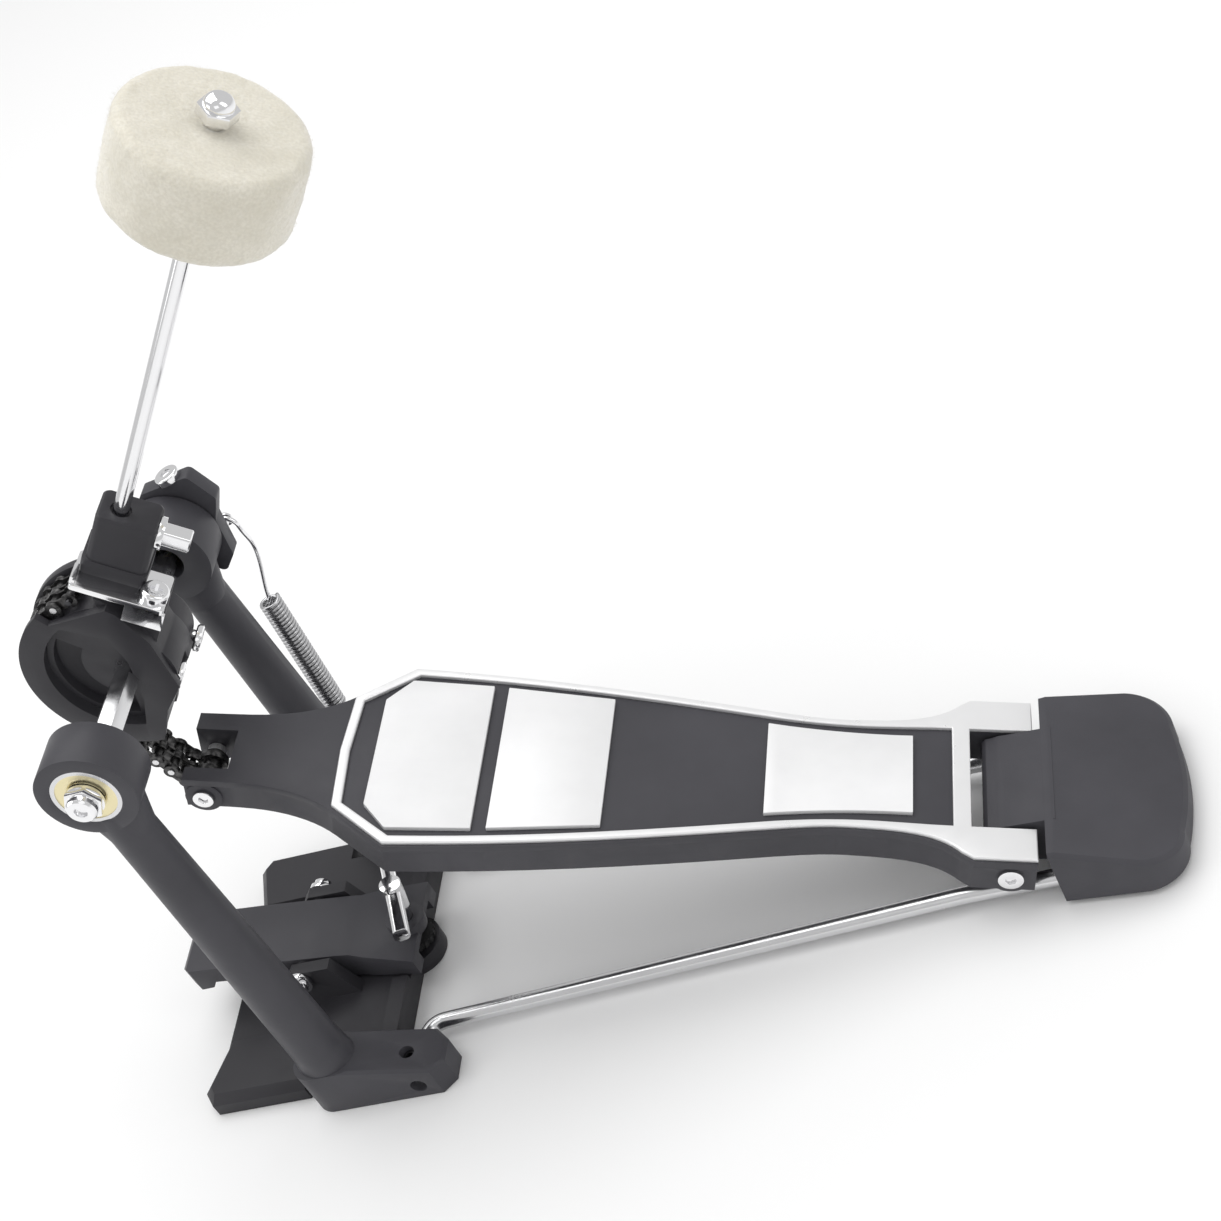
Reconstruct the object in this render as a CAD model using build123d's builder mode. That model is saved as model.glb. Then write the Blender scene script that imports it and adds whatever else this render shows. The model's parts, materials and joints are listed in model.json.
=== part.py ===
"""Bass drum pedal, built as an assembly of separate pieces.

Frame: +X runs from the drum to the player's heel, +Y to the player's right, +Z up.
The beater axle runs along Y above the origin, which lies on the floor under the base plate.
All sizes are in millimetres.
"""

import math
import os

from build123d import *

# ---------------------------------------------------------------- driving dimensions
AXLE_Z = 165.0            # height of the beater axle
HUB_FACE_Y = {-1: 61.3, 1: 57.3}          # outer face of each bearing hub, by side
HUB_R = 16.0
HUB_LENGTH = 16.0
BEARING_OD = 22.0         # 608 deep groove bearing
BEARING_WIDTH = 7.0
BEARING_BORE = 8.0
HEX_AF = 8.0              # axle, across flats

BASE_T = 8.0              # base plate thickness
BASE_REAR_X = 23.0
BASE_FRONT_X = -54.0
BASE_HALF_Y = 56.0
WING_INNER_Y = 31.0
LIP_T = 4.0               # thin lip under the hoop, between the wings
EAR_T = 6.4               # round ear under the clamp screw

FOOT_INNER_Y = 45.5
FOOT_OUTER_Y = 63.5
ROD_R = 2.9               # floor rods
ROD_HOLE_X = 32.5
ROD_Z = 5.6

HEEL_PIN_X = 241.2
HEEL_PIN_Z = 17.2
BOARD_ORIGIN = (243.93, 0, 25.85)      # on the board's top plane, above the heel pin
BOARD_DIR = (-0.9318, 0, 0.3630)       # heel to toe
BOARD_NORMAL = (0.3630, 0, 0.9318)
BOARD_DEPTH = 13.0
TRIM_T = 1.5
TOE_PIN = (-2.0, 111.0)                # x, z
CLEVIS_HALF = 8.6                      # half width of the slot at the toe
CLEVIS_CENTRE_Y = -0.8                 # middle of that slot
LUG_PIN = (-8.6, 113.8)                # x, z of the chain's lowest pin, in front of the toe pin

CHAIN_PITCH = 6.35
CHAIN_Y = -2.2            # chain line, shared with the cam's groove
STRAND_GAP = 6.4
CAM_CENTRE_LIFT = 3.6                  # cam circle is eccentric to the axle by this much
CAM_PITCH_R = 28.6
WRAPPED_LINKS = 3                      # links that come off the cam during a full stroke
FIXED_LINKS = 6                        # links that always stay on the cam

BEATER_TILT = 41.5                     # degrees back from vertical at rest
ROD_OFFSET = -14.5                     # beater rod line, in front of the axle
FELT_R = 26.5
FELT_LENGTH = 32.0
FELT_TOP = 205.6                       # along the rod, from the axle

JAW_PIVOT = (-14.4, 19.6)              # x, z
CLAMP_SCREW = (22.5, 15.0)             # x, z where the screw crosses the jaw's tail
CLAMP_TILT = 10.0

SPRING_Y = 69.3
ROCKER_PIN = (10.0, -11.0)             # x, z from the axle
SPRING_TOP_Z = 118.0
SPRING_LOW_Z = 62.0
SPRING_TOP_X = 7.4
SPRING_LOW_X = 5.2
SPRING_R = 4.2

os.makedirs("parts", exist_ok=True)


# ---------------------------------------------------------------- helpers
def side_plane(y):
    """XZ plane at a given y, whose normal points to -Y."""
    return Plane(origin=(0, y, 0), x_dir=(1, 0, 0), z_dir=(0, -1, 0))


def save(part, name):
    part.label = name
    export_step(part, f"parts/{name}.step")


def group(solids, name):
    save(Compound(label=name, children=list(solids)), name)


TILT = math.radians(BEATER_TILT)
R_DIR = Vector(math.sin(TILT), 0, math.cos(TILT))      # along the beater rod
T_DIR = Vector(math.cos(TILT), 0, -math.sin(TILT))     # across it, towards the heel
AXLE = Vector(0, 0, AXLE_Z)


def beater_point(t, y, r):
    """Point given across (t), sideways (y) and along (r) the beater rod."""
    return AXLE + T_DIR * t + Vector(0, y, 0) + R_DIR * r


def across_rod(t, y, r):
    """Plane square to the beater rod: local x across, local y sideways, normal along the rod."""
    return Plane(origin=beater_point(t, y, r), x_dir=T_DIR, z_dir=R_DIR)


BOARD_PLANE = Plane(origin=BOARD_ORIGIN, x_dir=BOARD_DIR, z_dir=BOARD_NORMAL)


# ---------------------------------------------------------------- base plate
def base_plate():
    wing_tip = BASE_FRONT_X
    with BuildPart() as plate:
        with BuildSketch(Plane.XY):
            with BuildLine():
                Polyline(
                    (BASE_REAR_X, 0),
                    (BASE_REAR_X, FOOT_INNER_Y - 0.3),
                    (-13.0, FOOT_INNER_Y - 0.3),
                    (-13.0, BASE_HALF_Y),
                    (wing_tip + 4, BASE_HALF_Y),
                    (wing_tip, BASE_HALF_Y - 6),
                    (wing_tip + 5, WING_INNER_Y),
                    (-22.0, WING_INNER_Y),
                    (-22.0, 0),
                    close=True,
                )
            make_face()
            mirror(about=Plane.XZ)
        extrude(amount=BASE_T)
        outer_edges = plate.edges().group_by(Axis.Z)[-1].filter_by(
            lambda e: e.center().X < wing_tip + 9 or abs(e.center().Y) > BASE_HALF_Y - 1
        )
        chamfer(outer_edges, length=3.0)
        # thin lip that goes under the hoop
        with BuildSketch(Plane.XY):
            with Locations((-36.0, 0)):
                Rectangle(28.0, 2 * WING_INNER_Y)
        extrude(amount=LIP_T)
        # round ear that the clamp screw stands on
        with BuildSketch(Plane.XY):
            with Locations((19.5, 0)):
                Circle(11.0)
        extrude(amount=EAR_T)
        # raised rear rim on both sides of the clamp
        with BuildSketch(Plane.XY.offset(BASE_T)):
            with Locations((BASE_REAR_X - 3.0, 31.5), (BASE_REAR_X - 3.0, -31.5)):
                Rectangle(6.0, 26.0)
        extrude(amount=2.6)
        # two lugs that carry the jaw
        for y in (17.4, -17.4):
            with BuildSketch(side_plane(y)):
                with BuildLine():
                    Polyline((-22, BASE_T), (-20.5, 20), (-17, 23.6), (-2, 23.2), (4, BASE_T), close=True)
                make_face()
                with Locations(JAW_PIVOT):
                    Circle(2.5, mode=Mode.SUBTRACT)
            extrude(amount=2.4, both=True)
    save(plate.part, "base_plate")


base_plate()


# ---------------------------------------------------------------- posts with bearing hubs
def post(side, name):
    """side is -1 for the player's left and +1 for the right."""
    inner, outer = side * FOOT_INNER_Y, side * FOOT_OUTER_Y
    middle = (inner + outer) / 2
    with BuildPart() as body:
        # foot block, top sloping down to the heel side
        with BuildSketch(side_plane(middle)):
            with BuildLine():
                Polyline((-10, 0), (44, 0), (44, 11.4), (12, 19), (-10, 19), close=True)
            make_face()
        extrude(amount=(FOOT_OUTER_Y - FOOT_INNER_Y) / 2, both=True)
        rear = body.faces().sort_by(Axis.X)[-1].edges().filter_by(Axis.Z)
        chamfer(rear, length=4.5)
        front = body.faces().sort_by(Axis.X)[0].edges().filter_by(Axis.Z)
        fillet(front, radius=8.0)
        rim = body.faces().sort_by(Axis.Z)[-1].edges() + body.faces().filter_by(
            lambda f: f.normal_at().Z > 0.9 and f.center().X > 15
        ).edges()
        chamfer(rim.filter_by(lambda e: e.center().X > 13), length=1.0)
        # tapered post
        with BuildSketch(Plane(origin=(2.4, middle, 12))):
            Ellipse(9.6, 8.9)
        with BuildSketch(Plane(origin=(0, side * (HUB_FACE_Y[side] - 7.3), AXLE_Z))):
            Circle(7.4)
        loft()
        # flared root where the post grows out of the foot
        with BuildSketch(Plane(origin=(2.4, middle, 14))):
            Ellipse(11.6, 9.0)
        with BuildSketch(Plane(origin=(2.2, middle, 27))):
            Ellipse(9.3, 8.6)
        loft()
        # bearing hub
        with BuildSketch(side_plane(side * (HUB_FACE_Y[side] - HUB_LENGTH / 2))):
            with Locations((0, AXLE_Z)):
                Circle(HUB_R)
        extrude(amount=HUB_LENGTH / 2, both=True)
        # neck that spreads the post under the hub
        with BuildSketch(Plane(origin=(0.3, side * (HUB_FACE_Y[side] - 7.5), AXLE_Z - 24))):
            Circle(7.6)
        with BuildSketch(Plane(origin=(0, side * (HUB_FACE_Y[side] - 7.7), AXLE_Z - 9))):
            Ellipse(12.4, 7.2)
        loft()
        # through hole and bearing seat
        with BuildSketch(side_plane(side * (HUB_FACE_Y[side] - HUB_LENGTH / 2))):
            with Locations((0, AXLE_Z)):
                Circle(6.8)
        extrude(amount=HUB_LENGTH, both=True, mode=Mode.SUBTRACT)
        with BuildSketch(side_plane(side * (HUB_FACE_Y[side] - BEARING_WIDTH / 2 + 2))):
            with Locations((0, AXLE_Z)):
                Circle(BEARING_OD / 2)
        extrude(amount=BEARING_WIDTH / 2 + 2, both=True, mode=Mode.SUBTRACT)
        # floor rod hole and its set screw hole
        with BuildSketch(side_plane(middle)):
            with Locations((ROD_HOLE_X, ROD_Z)):
                Circle(ROD_R)
        extrude(amount=20, both=True, mode=Mode.SUBTRACT)
        with BuildSketch(Plane.XY.offset(ROD_Z)):
            with Locations((ROD_HOLE_X - 1.5, side * 55.5)):
                Circle(2.5)
        extrude(amount=20, mode=Mode.SUBTRACT)
        if side > 0:
            # lug for the spring's tension rod
            with BuildSketch(Plane.XY.offset(26)):
                with BuildLine():
                    Polyline(
                        (-3, 55), (9, 55), (11.5, 66), (11.5, 71), (8, 75), (0, 75), (-3, 66), close=True
                    )
                make_face()
                with Locations((SPRING_LOW_X, SPRING_Y)):
                    Circle(2.05, mode=Mode.SUBTRACT)
            extrude(amount=7)
    save(body.part, name)


post(-1, "left_post")
post(1, "right_post")


# ---------------------------------------------------------------- bearings
def ring(y, r_in, r_out, width):
    """Ring about the axle, centred on y."""
    with BuildPart() as made:
        with BuildSketch(side_plane(y)):
            with Locations((0, AXLE_Z)):
                Circle(r_out)
                Circle(r_in, mode=Mode.SUBTRACT)
        extrude(amount=width / 2, both=True)
    return made.part


BEARING_Y = {side: HUB_FACE_Y[side] - BEARING_WIDTH / 2 for side in (-1, 1)}
BALL_R = 1.95
BALL_PITCH_R = 7.6
for side, name in ((-1, "left"), (1, "right")):
    y = side * BEARING_Y[side]
    outer_y = side * (BEARING_Y[side] + 0.2)
    save(ring(y, 9.6, BEARING_OD / 2, BEARING_WIDTH), f"{name}_bearing_outer_race")
    save(ring(outer_y, BEARING_BORE / 2, 5.6, BEARING_WIDTH + 0.4), f"{name}_bearing_inner_race")

with BuildPart() as balls:
    for side in (-1, 1):
        ball_circle = Plane(origin=(0, side * BEARING_Y[side], AXLE_Z), x_dir=(1, 0, 0), z_dir=(0, -1, 0))
        with Locations(ball_circle):
            with PolarLocations(BALL_PITCH_R, 8):
                Sphere(BALL_R)
save(balls.part, "bearing_balls")

shields = []
for side in (-1, 1):
    for offset in (-3.0, 3.0):
        shields.append(ring(side * BEARING_Y[side] + offset, 5.9, 9.6, 0.5))
group(shields, "bearing_shields")


# ---------------------------------------------------------------- axle
JOURNAL_Y = 41.0
AXLE_END_Y = 65.6
with BuildPart() as axle:
    with BuildSketch(side_plane(0)):
        with Locations((0, AXLE_Z)):
            RegularPolygon(HEX_AF / 2, 6, major_radius=False, rotation=BEATER_TILT)
    extrude(amount=JOURNAL_Y, both=True)
    with BuildSketch(side_plane(AXLE_END_Y)):
        with Locations((0, AXLE_Z)):
            Circle(BEARING_BORE / 2)
    extrude(amount=2 * AXLE_END_Y)
    ends = axle.edges().filter_by(GeomType.CIRCLE).filter_by(lambda e: abs(e.center().Y) > AXLE_END_Y - 1)
    chamfer(ends, length=0.8)
save(axle.part, "hex_axle")

NUT_FACE_Y = -HUB_FACE_Y[-1] - 3.6
with BuildPart() as axle_nut:
    with BuildSketch(side_plane(-HUB_FACE_Y[-1] - 0.8)):
        with Locations((0, AXLE_Z)):
            Circle(6.2)
    extrude(amount=1.0)
    with BuildSketch(side_plane(-HUB_FACE_Y[-1] - 1.8)):
        with Locations((0, AXLE_Z)):
            RegularPolygon(5.6, 6, major_radius=False)
    extrude(amount=1.8)
    # round cap with a socket in its face
    with BuildSketch(side_plane(NUT_FACE_Y)):
        with Locations((0, AXLE_Z)):
            Circle(4.9)
    extrude(amount=2.6)
    chamfer(axle_nut.faces().sort_by(Axis.Y)[0].edges(), length=0.7)
    with BuildSketch(side_plane(NUT_FACE_Y - 1.4)):
        with Locations((0, AXLE_Z)):
            Circle(2.1)
    extrude(amount=5, mode=Mode.SUBTRACT)
    with BuildSketch(side_plane(0)):
        with Locations((0, AXLE_Z)):
            Circle(BEARING_BORE / 2 + 0.02)
    extrude(amount=AXLE_END_Y + 0.05, mode=Mode.SUBTRACT)
save(axle_nut.part, "axle_nut")

# ---------------------------------------------------------------- chain path
CAM_CENTRE = Vector(0, 0, AXLE_Z + CAM_CENTRE_LIFT)
toe = Vector(TOE_PIN[0], 0, TOE_PIN[1])
lug = Vector(LUG_PIN[0], 0, LUG_PIN[1])
to_centre = CAM_CENTRE - lug
chord_half = math.asin(CAM_PITCH_R / to_centre.length)
lean = math.atan2(to_centre.X, to_centre.Z) - chord_half
CHAIN_DIR = Vector(math.sin(lean), 0, math.cos(lean))
TANGENT_LENGTH = math.sqrt(to_centre.length ** 2 - CAM_PITCH_R ** 2)
STRAIGHT_LINKS = 1 + int(TANGENT_LENGTH / CHAIN_PITCH)
LINK_ANGLE = 2 * math.asin(CHAIN_PITCH / 2 / CAM_PITCH_R)
tangent_point = lug + CHAIN_DIR * TANGENT_LENGTH
tangent_offset = tangent_point - CAM_CENTRE
TANGENT_ANGLE = math.atan2(-tangent_offset.X, tangent_offset.Z)      # from +Z towards -X


def cam_pin(index):
    """Chain pin on the cam's pitch circle; index 0 is the first one past the tangent."""
    past = CHAIN_PITCH * STRAIGHT_LINKS - TANGENT_LENGTH
    angle = TANGENT_ANGLE - past / CAM_PITCH_R - index * LINK_ANGLE
    return CAM_CENTRE + Vector(-math.sin(angle), 0, math.cos(angle)) * CAM_PITCH_R


straight_pins = [lug + CHAIN_DIR * CHAIN_PITCH * k for k in range(STRAIGHT_LINKS)]
wrapped_pins = [cam_pin(k) for k in range(WRAPPED_LINKS + FIXED_LINKS)]
PINS = straight_pins + wrapped_pins

PLATE_T = 0.8
ROLLER_W = 2.9
INNER_OFFSET = ROLLER_W / 2 + 0.1 + PLATE_T / 2
OUTER_OFFSET = INNER_OFFSET + PLATE_T + 0.12
CHAIN_PIN_R = 1.1
LINK_HALF_HEIGHT = 2.6


def link_plate(first, second, y):
    """One figure-eight plate between two pins, centred on y, with its two holes."""
    span = second - first
    direction = span.normalized()
    plane = Plane(origin=(first + second) * 0.5 + Vector(0, y, 0), x_dir=direction, z_dir=(0, -1, 0))
    half = span.length / 2
    with BuildPart() as made:
        with BuildSketch(plane):
            with Locations((-half, 0), (half, 0)):
                Circle(LINK_HALF_HEIGHT)
            Rectangle(2 * half, 2 * LINK_HALF_HEIGHT - 1.4)
        extrude(amount=PLATE_T / 2, both=True)
    return made.part


def rod_on(point, y, radius, length):
    """Round rod along Y, centred on y."""
    with BuildPart() as made:
        with BuildSketch(side_plane(y)):
            with Locations((point.X, point.Z)):
                Circle(radius)
        extrude(amount=length / 2, both=True)
    return made.part


def drilled(part, points, radius):
    """The part with holes along Y at the points."""
    with BuildPart() as made:
        add(part)
        for point in points:
            with BuildSketch(side_plane(CHAIN_Y)):
                with Locations((point.X, point.Z)):
                    Circle(radius)
            extrude(amount=15, both=True, mode=Mode.SUBTRACT)
    return made.part


def inner_link(first, second):
    """Roller link: in each strand two inner plates joined by two rollers."""
    solids = []
    for strand in (-STRAND_GAP / 2, STRAND_GAP / 2):
        with BuildPart() as made:
            for side in (-1, 1):
                add(link_plate(first, second, CHAIN_Y + strand + side * INNER_OFFSET))
            for point in (first, second):
                add(rod_on(point, CHAIN_Y + strand, 1.65, 2 * INNER_OFFSET))
        solids.append(drilled(made.part, (first, second), CHAIN_PIN_R + 0.06))
    return solids


def outer_link(first, second):
    """Pin link: outer plates of both strands on two long pins."""
    reach = STRAND_GAP / 2 + OUTER_OFFSET + PLATE_T / 2 + 0.35
    with BuildPart() as made:
        for strand in (-STRAND_GAP / 2, STRAND_GAP / 2):
            for side in (-1, 1):
                add(link_plate(first, second, CHAIN_Y + strand + side * OUTER_OFFSET))
        add(rod_on(second, CHAIN_Y, CHAIN_PIN_R, 2 * reach))
        add(rod_on(first, CHAIN_Y, CHAIN_PIN_R, 2 * reach))
    return [made.part]


# Links alternate along the chain. Link k joins PINS[k] and PINS[k + 1]; PINS[0] is the lug pin.
def chain_link(k):
    if k % 2:
        return inner_link(PINS[k], PINS[k + 1])
    return outer_link(PINS[k], PINS[k + 1])


hanging_outer = []
hanging_inner = []
for k in range(STRAIGHT_LINKS):
    target = hanging_inner if k % 2 else hanging_outer
    target.extend(chain_link(k))
group(hanging_outer, "chain_hanging_pin_links")
group(hanging_inner, "chain_hanging_roller_links")
for number in range(WRAPPED_LINKS):
    group(chain_link(STRAIGHT_LINKS + number), f"chain_link_{number + 1}")
fixed_links = []
for k in range(STRAIGHT_LINKS + WRAPPED_LINKS, len(PINS) - 1):
    fixed_links.extend(chain_link(k))
group(fixed_links, "chain_fixed_links")

# End barrel: fixed on the toe pin, with two eyes in which the chain's lowest pin hangs loosely.
EYE_R = 2.45
EYE_WALL = 1.0
TOE_PIN_R = 2.2
with BuildPart() as barrel:
    with BuildSketch(side_plane(CLEVIS_CENTRE_Y)):
        with Locations(TOE_PIN):
            Circle(3.1)
    extrude(amount=7.6, both=True)
    for strand in (-STRAND_GAP / 2, STRAND_GAP / 2):
        with BuildSketch(side_plane(CHAIN_Y + strand)):
            with Locations(TOE_PIN):
                Circle(4.9)
            with Locations(LUG_PIN):
                Circle(EYE_R + EYE_WALL)
            with BuildLine():
                normal = (toe - lug).normalized().cross(Vector(0, 1, 0)) * 2.6
                corners = [toe + normal, lug + normal, lug - normal, toe - normal]
                Polyline(*[(c.X, c.Z) for c in corners], close=True)
            make_face()
        extrude(amount=ROLLER_W / 2, both=True)
    with BuildSketch(side_plane(CHAIN_Y)):
        with Locations(TOE_PIN):
            Circle(TOE_PIN_R + 0.03)
        with Locations(LUG_PIN):
            Circle(EYE_R)
    extrude(amount=12, both=True, mode=Mode.SUBTRACT)
save(barrel.part, "chain_end_barrel")


# ---------------------------------------------------------------- cam
CAM_NEAR_Y = -12.0
CAM_FAR_Y = 8.2
GROOVE_HALF = STRAND_GAP / 2 + OUTER_OFFSET + PLATE_T / 2 + 0.75
GROOVE_R = CAM_PITCH_R - LINK_HALF_HEIGHT - 1.0
FLANGE_R = CAM_PITCH_R + 3.1
HUB_LOBE_R = 16.5
anchor = PINS[-1]
SET_SCREW_DIR = Vector(0.775, 0, -0.632)
CAM_SCREW_Y = -4.2
HUB_SCREW_Y = CAM_FAR_Y + 4.9


def cam_plane(y):
    """XZ plane at y with its origin at the cam circle's centre."""
    return Plane(origin=(0, y, CAM_CENTRE.Z), x_dir=(1, 0, 0), z_dir=(0, -1, 0))


def sector_points(radius, start, stop, steps):
    """Points on a circle about the cam centre; angles in degrees from +Z towards -X."""
    points = []
    for i in range(steps + 1):
        angle = math.radians(start + (stop - start) * i / steps)
        points.append((-radius * math.sin(angle), radius * math.cos(angle)))
    return points


with BuildPart() as cam:
    # drum: a sector on the drum side, from the top round to below the axle
    depth = CAM_FAR_Y - CAM_NEAR_Y
    with BuildSketch(cam_plane(CAM_FAR_Y)):
        with BuildLine():
            arc = ThreePointArc(*sector_points(FLANGE_R, -8, 176, 2))
            tail = Polyline(arc @ 1, (6, -20), (15, -12), (16, 8), (12, 22), arc @ 0)
        make_face()
    extrude(amount=depth)
    # hub lobe around the axle
    with BuildSketch(side_plane(CAM_FAR_Y)):
        with Locations((0, AXLE_Z)):
            Circle(HUB_LOBE_R)
    extrude(amount=depth - 2.5)
    # tower under the strap
    with BuildSketch(across_rod(1.2, -2.0, 14.0)):
        Rectangle(10.0, 13.0)
    extrude(amount=20.0 - 0.05)
    # chain groove, open to the rim
    with BuildSketch(cam_plane(CHAIN_Y)):
        with BuildLine():
            outer_arc = ThreePointArc(*sector_points(FLANGE_R + 9, -14, 182, 2))
            inner_arc = ThreePointArc(*sector_points(GROOVE_R, 182, -14, 2))
            Line(outer_arc @ 1, inner_arc @ 0)
            Line(inner_arc @ 1, outer_arc @ 0)
        make_face()
    extrude(amount=GROOVE_HALF, both=True, mode=Mode.SUBTRACT)
    # near flange cut lower where the chain ends, so that the links show
    with BuildSketch(cam_plane(CAM_NEAR_Y)):
        with BuildLine():
            Polyline((-17, 36), (-10.8, 24.6), (14, 24.6), (14, 36), close=True)
        make_face()
    extrude(amount=-3.0, mode=Mode.SUBTRACT)
    # dished near face with a raised boss
    with BuildSketch(cam_plane(CAM_NEAR_Y)):
        with BuildLine():
            dish = ThreePointArc(*sector_points(FLANGE_R - 8.0, 20, 170, 2))
            Polyline(dish @ 1, (1, -13.5), (5, 3), (4, 14), dish @ 0)
        make_face()
    extrude(amount=-4.0, mode=Mode.SUBTRACT)
    with BuildSketch(cam_plane(CAM_NEAR_Y + 4.0)):
        with BuildLine():
            deep = ThreePointArc(*sector_points(FLANGE_R - 10.0, 42, 165, 2))
            inner = ThreePointArc(*sector_points(13.0, 165, 42, 2))
            Line(deep @ 1, inner @ 0)
            Line(inner @ 1, deep @ 0)
        make_face()
    extrude(amount=-3.6, mode=Mode.SUBTRACT)
    # curved slot in the boss
    with BuildSketch(side_plane(CAM_NEAR_Y)):
        with Locations((0, AXLE_Z)):
            SlotArc(CenterArc((0, 0), 10.5, 60, 100), height=2.6)
    extrude(amount=-5.0, mode=Mode.SUBTRACT)
    # hexagonal bore
    with BuildSketch(side_plane(0)):
        with Locations((0, AXLE_Z)):
            RegularPolygon(HEX_AF / 2, 6, major_radius=False, rotation=BEATER_TILT)
    extrude(amount=20, both=True, mode=Mode.SUBTRACT)
    # set screw hole on the heel side, with a flat under the screw's head
    with BuildSketch(Plane(origin=(0, CAM_SCREW_Y, AXLE_Z), x_dir=(0, 1, 0), z_dir=SET_SCREW_DIR)):
        Circle(2.5)
    extrude(amount=30, mode=Mode.SUBTRACT)
    flat = Plane(origin=Vector(0, 0, AXLE_Z) + SET_SCREW_DIR * 14.3, x_dir=(0, 1, 0), z_dir=SET_SCREW_DIR)
    with BuildSketch(flat):
        with Locations((CAM_SCREW_Y, 0)):
            Rectangle(10.6, 12.0)
    extrude(amount=12, mode=Mode.SUBTRACT)
    # chain anchor pin hole
    with BuildSketch(side_plane(0)):
        with Locations((anchor.X, anchor.Z)):
            Circle(CHAIN_PIN_R)
    extrude(amount=30, both=True, mode=Mode.SUBTRACT)
save(cam.part, "cam")

with BuildPart() as anchor_pin:
    with BuildSketch(side_plane(CHAIN_Y - 6.8)):
        with Locations((anchor.X, anchor.Z)):
            Circle(CHAIN_PIN_R)
    extrude(amount=-(CAM_FAR_Y - CHAIN_Y + 6.6))
save(anchor_pin.part, "chain_anchor_pin")


# ---------------------------------------------------------------- beater holder
STRAP_TOP_R = 36.0
STRAP_T = 2.0
STRAP_SCREW = (1.9, -8.2)              # across, sideways
HOLDER_HALF_Y = 7.0
HOLDER_T = (-21.2, -2.2)
HOLDER_TOP_R = 59.6
KEY_BOLT_R = 54.8
with BuildPart() as holder:
    centre_t = (HOLDER_T[0] + HOLDER_T[1]) / 2
    width_t = HOLDER_T[1] - HOLDER_T[0]
    # flange that sits on the strap
    with BuildSketch(across_rod(centre_t - 0.3, 0.6, STRAP_TOP_R)):
        RectangleRounded(width_t + 1.6, 2 * HOLDER_HALF_Y + 1.0, 2.0)
    extrude(amount=5.5)
    with BuildSketch(across_rod(centre_t, 0.6, STRAP_TOP_R + 5.5)):
        RectangleRounded(width_t, 2 * HOLDER_HALF_Y, 2.4)
    extrude(amount=HOLDER_TOP_R - STRAP_TOP_R - 5.5)
    chamfer(holder.faces().sort_by(Axis(AXLE, R_DIR))[-1].edges(), length=0.8)
    # rod hole with a countersink at its mouth
    with BuildSketch(across_rod(ROD_OFFSET, 0, STRAP_TOP_R + 1.5)):
        Circle(2.55)
    extrude(amount=40, mode=Mode.SUBTRACT)
    with BuildSketch(across_rod(ROD_OFFSET, 0, HOLDER_TOP_R - 1.2)):
        Circle(3.3)
    extrude(amount=5, mode=Mode.SUBTRACT)
    # threaded hole for the key bolt, from the heel side
    with BuildSketch(Plane(origin=beater_point(ROD_OFFSET, 0, KEY_BOLT_R), x_dir=(0, 1, 0), z_dir=T_DIR)):
        Circle(2.5)
    extrude(amount=30, mode=Mode.SUBTRACT)
save(holder.part, "beater_holder")

with BuildPart() as key_bolt:
    head_plane = Plane(origin=beater_point(HOLDER_T[1], 0, KEY_BOLT_R), x_dir=(0, 1, 0), z_dir=T_DIR)
    with BuildSketch(head_plane):
        Circle(5.2)
    extrude(amount=1.8)
    with BuildSketch(head_plane.offset(1.8)):
        RectangleRounded(5.6, 5.6, 0.9)
    extrude(amount=8.4)
    with BuildSketch(head_plane):
        Circle(2.5)
    extrude(amount=-(HOLDER_T[1] - ROD_OFFSET - 2.6))
    tip = key_bolt.faces().sort_by(Axis(AXLE, T_DIR))[-1].edges()
    chamfer(tip, length=0.4)
save(key_bolt.part, "key_bolt")

# chrome strap between the holder and the tower of the cam
with BuildPart() as strap:
    with BuildSketch(across_rod(-8.8, -5.6, STRAP_TOP_R - STRAP_T)):
        RectangleRounded(29.6, 15.6, 1.2)
    extrude(amount=STRAP_T)
    # tab that hangs in front of the cam
    with BuildSketch(across_rod(0.4, CAM_NEAR_Y - 0.7, STRAP_TOP_R - STRAP_T)):
        Rectangle(12.4, 1.4)
    extrude(amount=-6.6)
    # short turned-up end on the drum side
    with BuildSketch(across_rod(-22.8, -9.4, STRAP_TOP_R)):
        Rectangle(1.6, 6.4)
    extrude(amount=2.6)
    with BuildSketch(across_rod(STRAP_SCREW[0], STRAP_SCREW[1], 30)):
        Circle(2.3)
    extrude(amount=10, mode=Mode.SUBTRACT)
save(strap.part, "clamp_strap")

with BuildPart() as strap_screw:
    head = across_rod(STRAP_SCREW[0], STRAP_SCREW[1], STRAP_TOP_R)
    with BuildSketch(head):
        Circle(4.4)
    extrude(amount=3.6)
    fillet(strap_screw.faces().sort_by(Axis(AXLE, R_DIR))[-1].edges(), radius=1.4)
    with BuildSketch(head.offset(2.0)):
        Rectangle(4.2, 1.1)
        Rectangle(1.1, 4.2)
    extrude(amount=4, mode=Mode.SUBTRACT)
    with BuildSketch(head):
        Circle(2.3)
    extrude(amount=-STRAP_T)
save(strap_screw.part, "strap_screw")

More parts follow.
